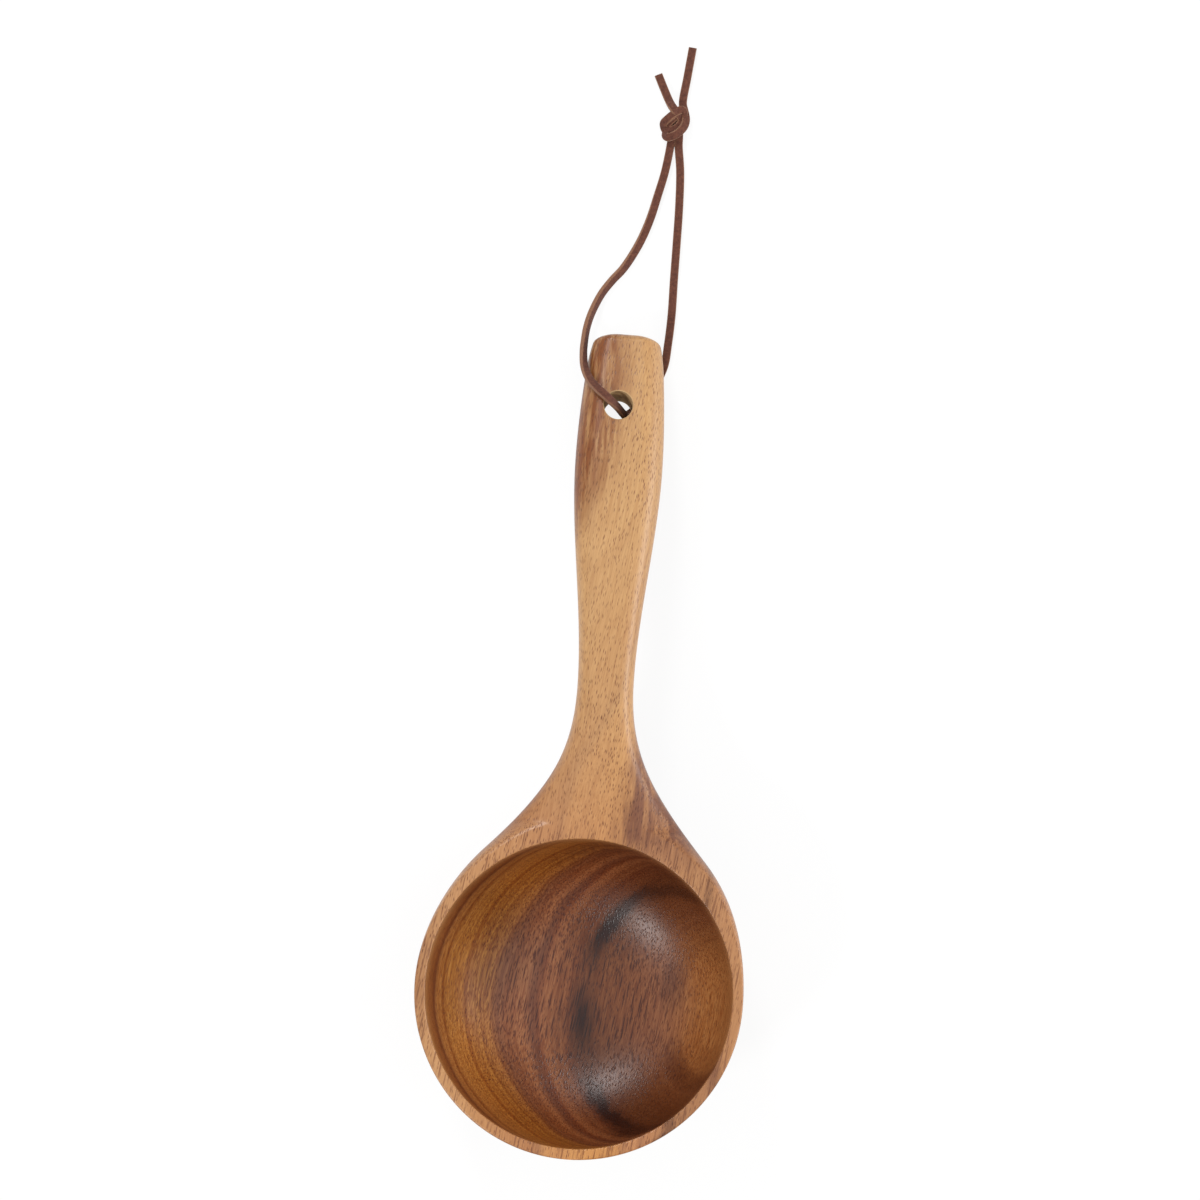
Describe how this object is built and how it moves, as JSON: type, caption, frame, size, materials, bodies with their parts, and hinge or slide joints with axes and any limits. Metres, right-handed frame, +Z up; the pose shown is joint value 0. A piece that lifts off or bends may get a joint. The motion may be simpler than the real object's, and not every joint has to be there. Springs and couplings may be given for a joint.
{
  "type": "bath ladle",
  "caption": "Wooden bath ladle for scooping and pouring water: deep round bowl, handle that flares towards its end, and a knotted leather thong through a hole near the tip.",
  "frame": {"origin": "on the table, at the middle of the ladle's own bounding box, thong left out", "axes": "+Y runs along the ladle from the bowl to the tip of the handle, +Z up off the table, +X to the right seen from above with the handle up"},
  "size_m": [0.12, 0.416, 0.0648],
  "materials": {
    "acacia": "oiled satin",
    "leather": "matte, raw cut edges"
  },
  "bodies": {
    "ladle": {"ladle_body": "acacia"},
    "thong": {"thong_front_run": "leather", "thong_back_run": "leather", "thong_knot": "leather", "thong_long_tail": "leather", "thong_short_tail": "leather"}
  },
  "joints": [
    {"name": "thong_lift", "type": "hinge", "parent": "ladle", "child": "thong", "pos_m": [-0.0016, 0.126, 0.01], "axis": [1, 0, 0], "range_deg": [0, 10]}
  ]
}
